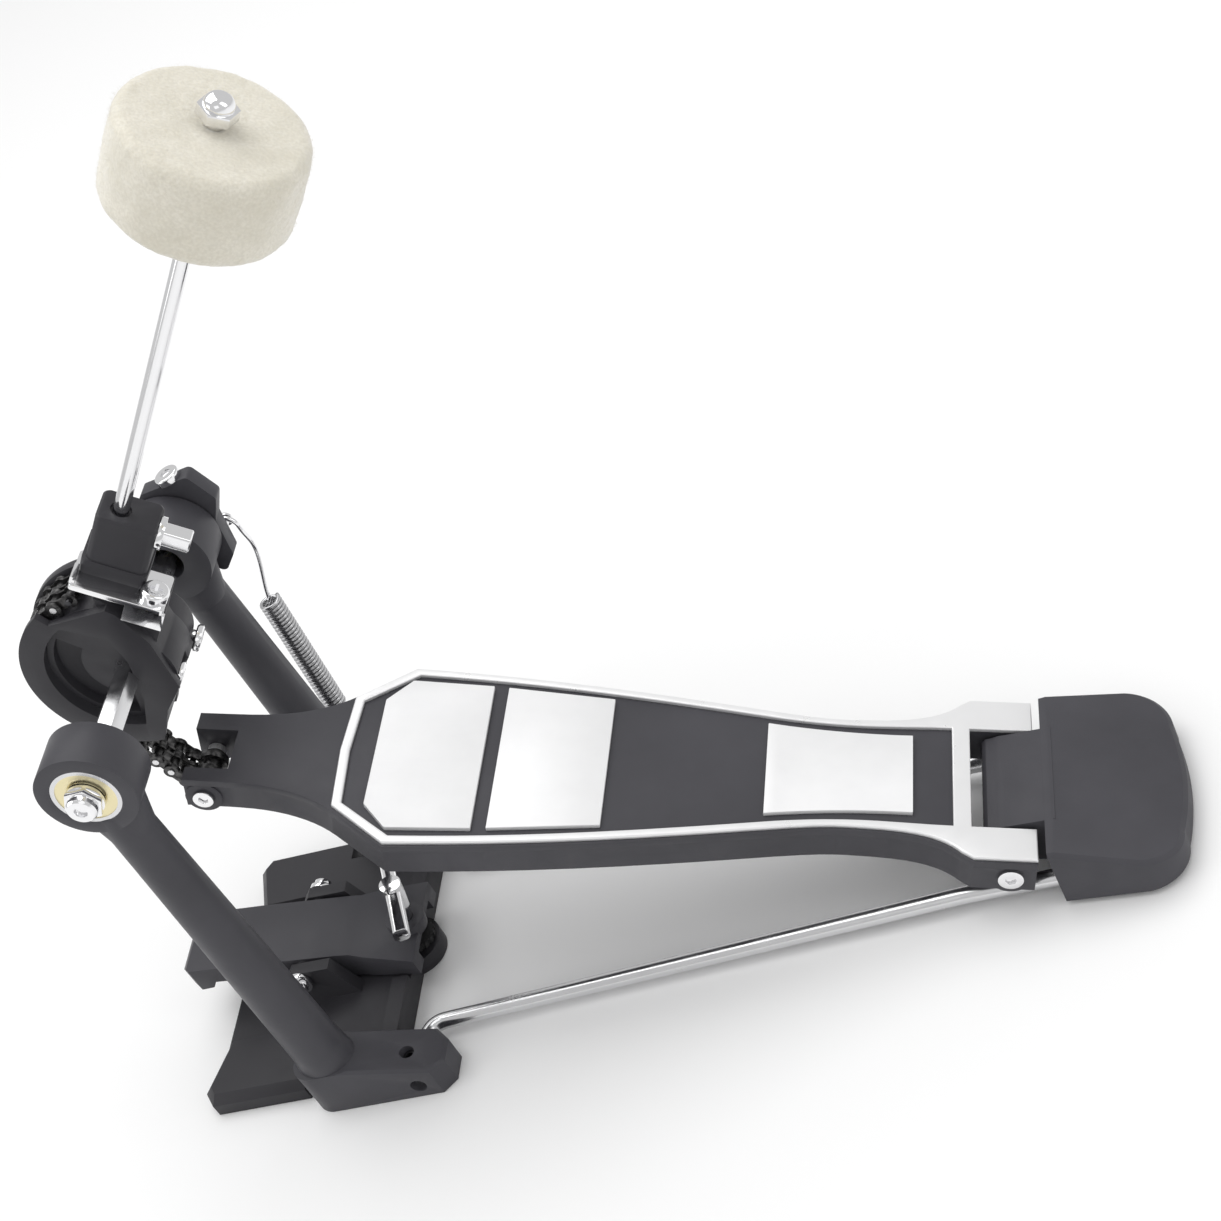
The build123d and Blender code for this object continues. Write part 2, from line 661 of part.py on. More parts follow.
# holder hub on the far side of the cam, clamped to the axle
with BuildPart() as hub:
    with BuildSketch(side_plane(CAM_FAR_Y + 9.3)):
        with Locations((0, AXLE_Z)):
            Circle(15.5)
    extrude(amount=9.0)
    fillet(hub.edges().filter_by(GeomType.CIRCLE), radius=1.0)
    with BuildSketch(side_plane(CAM_FAR_Y + 9.3)):
        with Locations((0, AXLE_Z)):
            RegularPolygon(HEX_AF / 2, 6, major_radius=False, rotation=BEATER_TILT)
    extrude(amount=12, both=True, mode=Mode.SUBTRACT)
    with BuildSketch(Plane(origin=(0, HUB_SCREW_Y, AXLE_Z), x_dir=(0, 1, 0), z_dir=SET_SCREW_DIR)):
        Circle(2.5)
    extrude(amount=30, mode=Mode.SUBTRACT)
save(hub.part, "holder_hub")


def set_screw(y, face_r):
    """Slotted screw that bears on the axle from the heel side; its face is face_r from the axle."""
    root = HEX_AF / 2 + 0.7
    head_t = 2.4
    face = Plane(origin=Vector(0, y, AXLE_Z) + SET_SCREW_DIR * face_r, x_dir=(0, 1, 0), z_dir=SET_SCREW_DIR)
    with BuildPart() as made:
        with BuildSketch(face.offset(-head_t)):
            Circle(4.6)
        extrude(amount=head_t)
        chamfer(made.faces().filter_by(GeomType.PLANE).edges().filter_by(GeomType.CIRCLE), length=0.5)
        with BuildSketch(face.offset(-head_t)):
            Circle(2.5)
        extrude(amount=-(face_r - head_t - root))
        with BuildSketch(face.offset(-1.1)):
            Rectangle(12, 1.2)
        extrude(amount=3, mode=Mode.SUBTRACT)
    return made.part


group([set_screw(CAM_SCREW_Y, 16.9), set_screw(HUB_SCREW_Y, 19.1)], "hub_set_screws")

# ---------------------------------------------------------------- beater
ROD_START_R = 38.5
with BuildPart() as beater_rod:
    with BuildSketch(across_rod(ROD_OFFSET, 0, ROD_START_R)):
        Circle(2.5)
    extrude(amount=FELT_TOP + 4.2 - ROD_START_R)
    chamfer(beater_rod.edges().filter_by(GeomType.CIRCLE), length=0.4)
save(beater_rod.part, "beater_rod")

with BuildPart() as felt:
    with BuildSketch(across_rod(ROD_OFFSET, 0, FELT_TOP - FELT_LENGTH)):
        Circle(FELT_R)
        Circle(2.5, mode=Mode.SUBTRACT)
    extrude(amount=FELT_LENGTH)
    rims = felt.edges().filter_by(GeomType.CIRCLE).filter_by(lambda e: e.radius > 20)
    fillet(rims, radius=4.0)
save(felt.part, "felt_beater")

with BuildPart() as acorn_nut:
    nut_plane = across_rod(ROD_OFFSET, 0, FELT_TOP)
    with BuildSketch(nut_plane):
        RegularPolygon(5.0, 6, major_radius=False, rotation=12)
    extrude(amount=3.2)
    with BuildSketch(nut_plane.offset(3.2)):
        Circle(4.3)
    extrude(amount=3.6)
    fillet(acorn_nut.faces().sort_by(Axis(AXLE, R_DIR))[-1].edges(), radius=3.2)
    with BuildSketch(nut_plane):
        Circle(2.5)
    extrude(amount=4.2, mode=Mode.SUBTRACT)
save(acorn_nut.part, "acorn_nut")

# ---------------------------------------------------------------- spring side
ROCKER_FACE = 64.2
ROCKER_T = 6.0
ROCKER_SCREW_DIR = Vector(-0.0963, 0, 0.9954)      # square to the rocker's top edge
ROCKER_SCREW_LENGTH = 11.77
ROCKER_SCREW_Y = ROCKER_FACE - ROCKER_T / 2
PIN_X, PIN_Z = ROCKER_PIN[0], AXLE_Z + ROCKER_PIN[1]
with BuildPart() as rocker:
    with BuildSketch(Plane(origin=(0, ROCKER_FACE, AXLE_Z), x_dir=(1, 0, 0), z_dir=(0, -1, 0))):
        with BuildLine():
            Polyline(
                (-12, 8), (-3, 17.6), (15.6, 19.4), (20.6, 8.0), (15.6, -0.5), (13.6, -16), (7.0, -22.6),
                (2.5, -13), (-12, -6), close=True,
            )
        make_face()
    extrude(amount=ROCKER_T)
    fillet(rocker.edges().filter_by(Axis.Y), radius=2.0)
    with BuildSketch(side_plane(ROCKER_FACE)):
        with Locations((0, AXLE_Z)):
            Circle(BEARING_BORE / 2)
    extrude(amount=ROCKER_T + 1, mode=Mode.SUBTRACT)
    screw_hole = Plane(origin=(9.3, ROCKER_SCREW_Y, AXLE_Z + 7), x_dir=(0, 1, 0), z_dir=ROCKER_SCREW_DIR)
    with BuildSketch(screw_hole):
        Circle(1.9)
    extrude(amount=30, mode=Mode.SUBTRACT)
save(rocker.part, "spring_rocker")

with BuildPart() as rocker_screw:
    with BuildSketch(screw_hole.offset(0.05)):
        Circle(1.88)
    extrude(amount=ROCKER_SCREW_LENGTH)
    with BuildSketch(screw_hole.offset(ROCKER_SCREW_LENGTH)):
        Circle(4.4)
    extrude(amount=2.6)
    fillet(rocker_screw.faces().sort_by(Axis(AXLE, ROCKER_SCREW_DIR))[-1].edges(), radius=0.8)
    with BuildSketch(screw_hole.offset(ROCKER_SCREW_LENGTH + 1.4)):
        RegularPolygon(2.0, 6)
    extrude(amount=3, mode=Mode.SUBTRACT)
save(rocker_screw.part, "rocker_screw")

with BuildPart() as rocker_pin:
    with BuildSketch(side_plane(ROCKER_FACE)):
        with Locations((PIN_X, PIN_Z)):
            Circle(1.5)
    extrude(amount=-(SPRING_Y + 3.3 - ROCKER_FACE))
    with BuildSketch(side_plane(SPRING_Y + 2.3)):
        with Locations((PIN_X, PIN_Z)):
            Circle(2.6)
    extrude(amount=-1.0)
save(rocker_pin.part, "rocker_pin")

# wire hook: a loop hung on the rocker pin and a straight shank into the coil
HOOK_WIRE_R = 0.9
LOOP_R = 4.5
with BuildPart() as hook:
    loop_z = PIN_Z - 1.85
    with BuildLine() as hook_path:
        shank = Spline(
            (SPRING_TOP_X - 0.3, SPRING_Y, SPRING_TOP_Z - 5),
            (SPRING_TOP_X + 3.0, SPRING_Y, SPRING_TOP_Z + 9),
            (SPRING_TOP_X + 6.2, SPRING_Y, SPRING_TOP_Z + 18),
            (SPRING_TOP_X + 7.8, SPRING_Y, SPRING_TOP_Z + 26),
            (PIN_X + LOOP_R, SPRING_Y, loop_z),
            tangents=((0.04, 0, 1), (0, 0, 1)),
        )
        ThreePointArc(
            shank @ 1, (PIN_X, SPRING_Y, loop_z + LOOP_R), (PIN_X - LOOP_R, SPRING_Y, loop_z)
        )
    with BuildSketch(Plane(origin=hook_path.line @ 0, z_dir=hook_path.line % 0)):
        Circle(HOOK_WIRE_R)
    sweep(transition=Transition.ROUND)
save(hook.part, "spring_hook")

spring_axis = Vector(SPRING_TOP_X - SPRING_LOW_X, 0, SPRING_TOP_Z - SPRING_LOW_Z)
with BuildPart() as spring:
    coil_plane = Plane(origin=(SPRING_LOW_X, SPRING_Y, SPRING_LOW_Z), x_dir=(0, 1, 0), z_dir=spring_axis)
    with BuildSketch(coil_plane):
        Circle(SPRING_R)
        Circle(SPRING_R - 1.4, mode=Mode.SUBTRACT)
    extrude(amount=spring_axis.length)
save(spring.part, "return_spring")

# tension rod: eye in the coil's lower end, threaded shank through the lug, two nuts
with BuildPart() as tension_rod:
    with BuildSketch(Plane.XY.offset(17)):
        with Locations((SPRING_LOW_X, SPRING_Y)):
            Circle(2.0)
    extrude(amount=41)
    with BuildSketch(Plane.XY.offset(58)):
        with Locations((SPRING_LOW_X, SPRING_Y)):
            Circle(2.6)
    extrude(amount=7)
save(tension_rod.part, "tension_rod")


def round_nut(z, radius, height):
    with BuildPart() as made:
        with BuildSketch(Plane.XY.offset(z)):
            with Locations((SPRING_LOW_X, SPRING_Y)):
                Circle(radius)
                with PolarLocations(radius, 12):
                    Circle(0.6, mode=Mode.SUBTRACT)
                Circle(2.0, mode=Mode.SUBTRACT)
        extrude(amount=height)
    return made.part


group([round_nut(20.5, 5.0, 5.4), round_nut(33.1, 5.0, 4.0)], "tension_nuts")


# ---------------------------------------------------------------- footboard
WING_END_U = -8.4
SLOT_REAR_U = 252.0       # rear wall of the toe fork's slot
FLARE_U = 11.4
FLARE_W = 34.6
WIDEST_U, WIDEST_W = 196.4, 39.4
SHOULDER_U, SHOULDER_W = 215.1, 24.3
TOE_U, TOE_W = 266.3, 15.1
BAR_U = (11.8, 17.5)       # crossbar of the heel bracket
SLOT_W = 21.0              # half width of the gap that the heel tongue fills
LEDGE = 0.8                # the wall stands this far inside the top ledge
LEDGE_T = 2.6


def half_outline(inset):
    """Right half of the board from the heel flare to the shoulder, moved in by inset."""
    flare = Line((FLARE_U, FLARE_W - inset), (FLARE_U + 3.5, FLARE_W - inset - 2.4))
    waist = Spline(
        flare @ 1, (29.0, 25.4 - inset), (45.0, 23.9 - inset), (77.0, 26.4 - inset),
        tangents=((3.5, -3.4), (1.0, 0.155)),
    )
    side = Spline(
        waist @ 1, (128.0, 33.6 - inset), (165.0, 37.4 - inset), (WIDEST_U, WIDEST_W - inset),
        tangents=((1.0, 0.155), (1.0, 0.045)),
    )
    return flare, waist, side


def board_sketch(inset):
    """Closed board outline on the board plane, from wings to toe."""
    with BuildSketch(mode=Mode.PRIVATE) as outline:
        with BuildLine():
            flare, waist, side = half_outline(inset)
            Line((WING_END_U, FLARE_W - inset), flare @ 0)
            shoulder = Line(side @ 1, (SHOULDER_U, SHOULDER_W - inset + 1.0))
            neck = Spline(
                shoulder @ 1, (236.0, 16.6 - inset), (TOE_U, TOE_W - inset),
                tangents=((18.7, -14.1), (1.0, -0.02)),
            )
            Line(neck @ 1, (TOE_U, 0))
            Line((TOE_U, 0), (WING_END_U, 0))
            Line((WING_END_U, 0), (WING_END_U, FLARE_W - inset))
        make_face()
        mirror(about=Plane.XZ)
    return outline.sketch


def trim_sketch(inset):
    """Outline of the trim: board outline cut off at the shoulder."""
    with BuildSketch(mode=Mode.PRIVATE) as outline:
        with BuildLine():
            flare, waist, side = half_outline(inset)
            Line((WING_END_U, FLARE_W - inset), flare @ 0)
            front = Polyline(side @ 1, (SHOULDER_U, SHOULDER_W - inset * 0.5), (SHOULDER_U + 1.2, 0))
            Line(front @ 1, (WING_END_U, 0))
            Line((WING_END_U, 0), (WING_END_U, FLARE_W - inset))
        make_face()
        mirror(about=Plane.XZ)
    return outline.sketch


def deck_sketch(inset):
    """Deck inside the trim, between the crossbar and the front of the trim."""
    with BuildSketch(mode=Mode.PRIVATE) as outline:
        with BuildLine():
            start = Line((BAR_U[1], 0), (BAR_U[1], SLOT_W))
            waist = Spline(
                start @ 1, (45.0, 23.9 - inset), (77.0, 26.4 - inset),
                tangents=((1.0, 0.0), (1.0, 0.155)),
            )
            side = Spline(
                waist @ 1, (128.0, 33.6 - inset), (165.0, 37.4 - inset),
                (WIDEST_U - 1.6, WIDEST_W - inset - 0.2),
                tangents=((1.0, 0.155), (1.0, 0.045)),
            )
            front = Polyline(side @ 1, (SHOULDER_U - 3.2, SHOULDER_W - 1.6), (SHOULDER_U - 2.0, 0))
            Line(front @ 1, (BAR_U[1], 0))
        make_face()
        mirror(about=Plane.XZ)
    return outline.sketch


def board_plane(depth):
    return BOARD_PLANE.offset(-depth)


with BuildPart() as footboard:
    with BuildSketch(board_plane(TRIM_T + LEDGE_T)):
        add(board_sketch(0.0))
    extrude(amount=LEDGE_T)
    with BuildSketch(board_plane(BOARD_DEPTH + TRIM_T)):
        add(board_sketch(LEDGE))
    extrude(amount=BOARD_DEPTH - LEDGE_T)
    # hollow underside
    with BuildSketch(board_plane(BOARD_DEPTH + TRIM_T)):
        with BuildLine():
            pocket_start = Line((26, 0), (26, 20.0))
            pocket_side = Spline(
                pocket_start @ 1, (45.0, 19.6), (77.0, 22.0), (128.0, 29.2), (165.0, 33.0), (196.0, 34.4)
            )
            pocket_front = Polyline(pocket_side @ 1, (214, 20.5), (238, 11.5), (238, 0))
            Line(pocket_front @ 1, (26, 0))
        make_face()
        mirror(about=Plane.XZ)
    extrude(amount=BOARD_DEPTH - 3.6, mode=Mode.SUBTRACT)
    # gap between the wings for the heel tongue
    with BuildSketch(board_plane(BOARD_DEPTH + 12)):
        with Locations(((BAR_U[0] + WING_END_U) / 2 - 2, 0)):
            Rectangle(BAR_U[0] - WING_END_U + 4, 2 * SLOT_W)
    extrude(amount=40, mode=Mode.SUBTRACT)
    # clevis slot at the toe, for the chain's end barrel
    with BuildSketch(board_plane(BOARD_DEPTH + 12)):
        with Locations((SLOT_REAR_U + 17.0, -CLEVIS_CENTRE_Y)):
            Rectangle(34.0, 2 * CLEVIS_HALF)
    extrude(amount=40, mode=Mode.SUBTRACT)
    # rounded cheeks: a boss around the toe pin
    with BuildSketch(side_plane(0)):
        with Locations(TOE_PIN):
            Circle(6.2)
    extrude(amount=TOE_W - 0.2, both=True)
    with BuildSketch(side_plane(CLEVIS_CENTRE_Y)):
        with Locations(TOE_PIN):
            Circle(7.4)
    extrude(amount=CLEVIS_HALF, both=True, mode=Mode.SUBTRACT)
    # round bosses of the heel wings, below the ledge
    with BuildSketch(side_plane(0)):
        with Locations((HEEL_PIN_X, HEEL_PIN_Z)):
            Circle(6.6)
    extrude(amount=FLARE_W - LEDGE, both=True)
    with BuildSketch(side_plane(0)):
        with Locations((HEEL_PIN_X, HEEL_PIN_Z)):
            Circle(16)
    extrude(amount=SLOT_W, both=True, mode=Mode.SUBTRACT)
    # bores for both pins
    with BuildSketch(side_plane(0)):
        with Locations((HEEL_PIN_X, HEEL_PIN_Z)):
            Circle(3.05)
    extrude(amount=60, both=True, mode=Mode.SUBTRACT)
    with BuildSketch(side_plane(0)):
        with Locations(TOE_PIN):
            Circle(TOE_PIN_R)
    extrude(amount=40, both=True, mode=Mode.SUBTRACT)
save(footboard.part, "footboard")

with BuildPart() as trim:
    with BuildSketch(board_plane(TRIM_T)):
        add(trim_sketch(0.9))
        add(deck_sketch(3.6), mode=Mode.SUBTRACT)
        with Locations(((BAR_U[0] + WING_END_U) / 2 - 2, 0)):
            Rectangle(BAR_U[0] - WING_END_U + 4, 2 * SLOT_W, mode=Mode.SUBTRACT)
    extrude(amount=TRIM_T)
    top = trim.faces().filter_by(lambda f: f.normal_at().dot(Vector(*BOARD_NORMAL)) > 0.99)
    chamfer(top.edges(), length=0.3)
save(trim.part, "board_trim")

PLATE_RISE = 1.7
tread_plates = {
    "tread_plate_toe": [(204.7, 23.0), (204.7, 0), (169.1, 0), (169.1, 31.4), (196.5, 32.6)],
    "tread_plate_middle": [(164.2, 31.0), (164.2, 0), (128.2, 0), (128.2, 27.6)],
}
for name, corners in tread_plates.items():
    with BuildPart() as tread:
        with BuildSketch(board_plane(TRIM_T)):
            with BuildLine():
                Polyline(*corners, close=True)
            make_face()
            mirror(about=Plane.XZ)
        extrude(amount=PLATE_RISE)
    save(tread.part, name)
with BuildPart() as heel_tread:
    with BuildSketch(board_plane(TRIM_T)):
        with BuildLine():
            rear = Line((30.1, 0), (30.1, 16.6))
            edge = ThreePointArc(rear @ 1, (52.0, 17.0), (77.1, 19.6))
            Polyline(edge @ 1, (77.1, 0), (30.1, 0))
        make_face()
        mirror(about=Plane.XZ)
    extrude(amount=PLATE_RISE)
save(heel_tread.part, "tread_plate_heel")


def headed_pin(centre, start_y, end_y, radius, head_r, head_t, side):
    """Pin along Y whose socket head sits outside end_y; side is the sign of the head's end."""
    with BuildPart() as made:
        with BuildSketch(side_plane((start_y + end_y) / 2)):
            with Locations(centre):
                Circle(radius)
        extrude(amount=abs(end_y - start_y) / 2, both=True)
        with BuildSketch(side_plane(end_y + side * head_t / 2)):
            with Locations(centre):
                Circle(head_r)
        extrude(amount=head_t / 2, both=True)
        with BuildSketch(side_plane(end_y + side * (head_t - 1.0))):
            with Locations(centre):
                RegularPolygon(head_r * 0.5, 6)
        extrude(amount=1.2 if side < 0 else -1.2, mode=Mode.SUBTRACT)
    return made.part


with BuildPart() as toe_pin:
    add(headed_pin(TOE_PIN, 0, -TOE_W - 0.05, TOE_PIN_R, 3.5, 1.0, -1))
    add(headed_pin(TOE_PIN, 0, TOE_W + 0.05, TOE_PIN_R, 3.5, 1.0, 1))
save(toe_pin.part, "toe_pin")

HEEL_CENTRE = (HEEL_PIN_X, HEEL_PIN_Z)
WING_OUT = FLARE_W - LEDGE
group(
    [
        headed_pin(HEEL_CENTRE, -8, -WING_OUT - 0.15, 3.0, 4.0, 1.0, -1),
        headed_pin(HEEL_CENTRE, 8, WING_OUT + 0.15, 3.0, 4.0, 1.0, 1),
    ],
    "heel_pins",
)

# ---------------------------------------------------------------- heel plate
HEEL_FRONT_X = 254.6
HEEL_REAR_X = 297.0
HEEL_FRONT_W = 34.4
HEEL_REAR_W = 36.8
TONGUE_W = 19.6
with BuildPart() as heel_plate:
    with BuildSketch(Plane.XY.offset(2)):
        with BuildLine():
            edge = Line((HEEL_FRONT_X, HEEL_FRONT_W), (281.0, HEEL_REAR_W))
            corner = ThreePointArc(edge @ 1, (291.5, 31.5), (294.6, 22.0))
            tail = ThreePointArc(corner @ 1, (296.4, 11.0), (HEEL_REAR_X, 0))
            Polyline(tail @ 1, (HEEL_FRONT_X, 0), edge @ 0)
        make_face()
        mirror(about=Plane.XZ)
    extrude(amount=26)
    # top falls away to the rear
    with BuildSketch(side_plane(0)):
        with BuildLine():
            Polyline((240, 25.0), (257, 24.4), (290, 12.8), (300, 8.4), (300, 40), (240, 40), close=True)
        make_face()
    extrude(amount=50, both=True, mode=Mode.SUBTRACT)
    top_faces = heel_plate.faces().filter_by(lambda f: f.normal_at().Z > 0.7)
    rim = top_faces.edges().filter_by(lambda e: abs(e.center().Y) > 15 or e.center().X > 293)
    chamfer(rim, length=1.3)
    # tongue between the board's wings, rounded about the pin
    with BuildSketch(side_plane(0)):
        with Locations(HEEL_CENTRE):
            Circle(8.0)
        with BuildLine():
            Polyline(
                (HEEL_PIN_X - 7.0, HEEL_PIN_Z + 1.0), (HEEL_PIN_X - 6.2, HEEL_PIN_Z + 6.6),
                (HEEL_PIN_X - 4.6, HEEL_PIN_Z + 7.7), (HEEL_PIN_X + 1.5, HEEL_PIN_Z + 7.8), (258, 24.3),
                (258, 4), (HEEL_PIN_X, HEEL_PIN_Z - 8), close=True,
            )
        make_face()
    extrude(amount=TONGUE_W, both=True)
    with BuildSketch(side_plane(0)):
        with Locations(HEEL_CENTRE):
            Circle(3.0)
    extrude(amount=TONGUE_W + 5, both=True, mode=Mode.SUBTRACT)
    for y in (-27.5, 27.5):
        with BuildSketch(Plane(origin=(HEEL_FRONT_X - 1, y, ROD_Z + 0.6), x_dir=(0, 1, 0), z_dir=(1, 0, 0))):
            Circle(ROD_R)
        extrude(amount=15, mode=Mode.SUBTRACT)
save(heel_plate.part, "heel_plate")

with BuildPart() as heel_pad:
    with BuildSketch(Plane.XY):
        with Locations((273, 0)):
            RectangleRounded(34.0, 58.0, 5.0)
    extrude(amount=2.0)
save(heel_pad.part, "heel_pad")


# ---------------------------------------------------------------- floor rods
def floor_rod(side, name):
    start = (ROD_HOLE_X, side * (FOOT_OUTER_Y - 3.0), ROD_Z)
    bend = (ROD_HOLE_X, side * 38.0, ROD_Z)
    turn = (HEEL_FRONT_X - 32, side * 27.5, ROD_Z + 0.6)
    end = (HEEL_FRONT_X + 12, side * 27.5, ROD_Z + 0.6)
    with BuildPart() as rod:
        with BuildLine():
            FilletPolyline(start, bend, turn, end, radius=(6.5, 60))
        with BuildSketch(Plane(origin=start, z_dir=(0, -side, 0))):
            Circle(ROD_R)
        sweep()
    save(rod.part, name)


floor_rod(-1, "left_floor_rod")
floor_rod(1, "right_floor_rod")

rod_screws = []
for side in (-1, 1):
    with BuildPart() as rod_screw:
        with BuildSketch(Plane.XY.offset(ROD_Z + ROD_R + 0.02)):
            with Locations((ROD_HOLE_X - 1.5, side * 55.5)):
                Circle(2.5)
        extrude(amount=3.6)
        with BuildSketch(Plane.XY.offset(ROD_Z + ROD_R + 2.2)):
            with Locations((ROD_HOLE_X - 1.5, side * 55.5)):
                RegularPolygon(1.4, 6)
        extrude(amount=3, mode=Mode.SUBTRACT)
    rod_screws.append(rod_screw.part)
group(rod_screws, "rod_set_screws")

# ---------------------------------------------------------------- hoop clamp
JAW_TIP_X = -61.0
JAW_TAIL_X = 27.6
JAW_BOSS = 5.0             # height of the threaded boss on the tail
with BuildPart() as jaw:
    with BuildSketch(Plane.XY):
        with BuildLine():
            Polyline(
                (JAW_TIP_X, 0), (JAW_TIP_X, 9.5), (JAW_TIP_X + 4, 13.5), (-48, 13.5), (4, 13.5),
                (10, 15.0), (JAW_TAIL_X, 18.0), (JAW_TAIL_X, 0), close=True,
            )
        make_face()
        mirror(about=Plane.XZ)
    extrude(amount=40)
    with BuildSketch(side_plane(0)):
        with BuildLine():
            Polyline(
                (JAW_TIP_X, 26.6), (JAW_TIP_X + 3, 29.2), (-34, 26.4), (0, 21.8), (JAW_TAIL_X, 16.0),
                (JAW_TAIL_X, 8.9), (4, 9.6), (-8, 11.5), (-24, 12.6), (-30, 18.0), (-50, 21.0), (-52, 18.4),
                (JAW_TIP_X, 18.4),
                close=True,
            )
        make_face()
    extrude(amount=30, both=True, mode=Mode.INTERSECT)
    # pocket for the screw's foot, open to the rear
    with BuildSketch(side_plane(0)):
        with BuildLine():
            Polyline((9, 0), (9, 13.2), (40, 13.2), (40, 0), close=True)
        make_face()
    extrude(amount=11.5, both=True, mode=Mode.SUBTRACT)
    # threaded boss for the clamp screw
    screw_axis = Vector(math.sin(math.radians(CLAMP_TILT)), 0, math.cos(math.radians(CLAMP_TILT)))
    screw_base = Vector(CLAMP_SCREW[0], 0, CLAMP_SCREW[1])
    with BuildSketch(Plane(origin=screw_base, x_dir=(0, 1, 0), z_dir=screw_axis)):
        Circle(7.0)
    extrude(amount=JAW_BOSS)
    with BuildSketch(Plane(origin=screw_base, x_dir=(0, 1, 0), z_dir=screw_axis)):
        Circle(3.0)
    extrude(amount=20, both=True, mode=Mode.SUBTRACT)
    with BuildSketch(side_plane(0)):
        with Locations(JAW_PIVOT):
            Circle(2.55)
    extrude(amount=30, both=True, mode=Mode.SUBTRACT)
save(jaw.part, "clamp_jaw")

with BuildPart() as jaw_pad:
    with BuildSketch(side_plane(0)):
        with BuildLine():
            Polyline((-60.2, 18.4), (-52.6, 18.4), (-52.9, 16.4), (-59.9, 16.4), close=True)
        make_face()
    extrude(amount=9.0, both=True)
save(jaw_pad.part, "jaw_pad")

LUG_OUT = 19.8
with BuildPart() as jaw_bolt:
    with BuildSketch(side_plane(0)):
        with Locations(JAW_PIVOT):
            Circle(2.5)
    extrude(amount=LUG_OUT + 4, both=True)
    for side in (-1, 1):
        with BuildSketch(side_plane(side * (LUG_OUT + 1.0))):
            with Locations(JAW_PIVOT):
                Circle(4.4)
        extrude(amount=0.98, both=True)
        with BuildSketch(side_plane(side * (LUG_OUT + 3.2))):
            with Locations(JAW_PIVOT):
                Circle(3.3)
        extrude(amount=1.2, both=True)
save(jaw_bolt.part, "jaw_pivot_bolt")

# clamp screw: swivel foot below, threaded shank and tee handle above
FOOT_DROP = 6.3           # from the jaw's tail to the foot's sole
screw_plane = Plane(origin=screw_base, x_dir=(0, 1, 0), z_dir=screw_axis)
with BuildPart() as screw_foot:
    with BuildSketch(screw_plane.offset(-FOOT_DROP)):
        Circle(8.2)
        with PolarLocations(8.2, 18):
            Circle(0.7, mode=Mode.SUBTRACT)
        Circle(2.05, mode=Mode.SUBTRACT)
    extrude(amount=2.6)
save(screw_foot.part, "clamp_screw_foot")

HANDLE_ANGLE = 18.0
HANDLE_HALF = 21.0
with BuildPart() as tee_bolt:
    with BuildSketch(screw_plane.offset(-FOOT_DROP)):
        Circle(2.0)
    extrude(amount=4.0)
    with BuildSketch(screw_plane.offset(-FOOT_DROP + 2.7)):
        Circle(2.95)
    extrude(amount=14.4)
    with BuildSketch(screw_plane.offset(10.4)):
        Circle(3.9)
    extrude(amount=12.6)
    handle_dir = Vector(0, 1, 0).rotate(Axis((0, 0, 0), screw_axis), HANDLE_ANGLE)
    middle = screw_base + screw_axis * 19.0
    with BuildSketch(Plane(origin=middle, x_dir=screw_axis, z_dir=handle_dir)):
        RectangleRounded(5.8, 5.8, 2.2)
    extrude(amount=HANDLE_HALF, both=True)
save(tee_bolt.part, "clamp_tee_bolt")
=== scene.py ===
"""Looks of the bass drum pedal: materials, coil spring, felt beater, light and camera.

Metres, in the CAD's frame: +X from drum to heel, +Y to the player's right, +Z up.
"""

import json
import math
import random

import bpy
from mathutils import Matrix, Vector, noise


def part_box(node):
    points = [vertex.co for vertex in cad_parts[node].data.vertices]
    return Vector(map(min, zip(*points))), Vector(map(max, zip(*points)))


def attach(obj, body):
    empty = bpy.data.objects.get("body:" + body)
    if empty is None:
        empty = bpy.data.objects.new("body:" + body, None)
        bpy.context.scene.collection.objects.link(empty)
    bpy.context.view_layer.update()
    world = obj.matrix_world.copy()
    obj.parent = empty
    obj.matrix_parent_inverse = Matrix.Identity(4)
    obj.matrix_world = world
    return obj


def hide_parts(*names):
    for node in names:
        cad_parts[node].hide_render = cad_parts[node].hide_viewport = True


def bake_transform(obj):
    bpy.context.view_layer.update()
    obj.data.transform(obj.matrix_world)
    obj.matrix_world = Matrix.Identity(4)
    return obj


MM = 0.001
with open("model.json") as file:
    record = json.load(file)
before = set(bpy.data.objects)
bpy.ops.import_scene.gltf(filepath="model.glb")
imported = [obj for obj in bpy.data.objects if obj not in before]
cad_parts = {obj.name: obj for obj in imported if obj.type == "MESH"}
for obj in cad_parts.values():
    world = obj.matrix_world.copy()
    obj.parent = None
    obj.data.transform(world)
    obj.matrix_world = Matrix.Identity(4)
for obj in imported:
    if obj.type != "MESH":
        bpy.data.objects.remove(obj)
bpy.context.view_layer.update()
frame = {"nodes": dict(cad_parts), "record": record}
nodes = frame["nodes"]
random.seed(7)


# ---------------------------------------------------------------- geometry clean-up on CAD nodes
WELD_DISTANCE = 0.002 * MM


def group_input(tree):
    tree.interface.new_socket("Geometry", in_out="INPUT", socket_type="NodeSocketGeometry")
    return tree.nodes.new("NodeGroupInput").outputs[0]


def group_output(tree, socket):
    tree.interface.new_socket("Geometry", in_out="OUTPUT", socket_type="NodeSocketGeometry")
    tree.links.new(socket, tree.nodes.new("NodeGroupOutput").inputs[0])


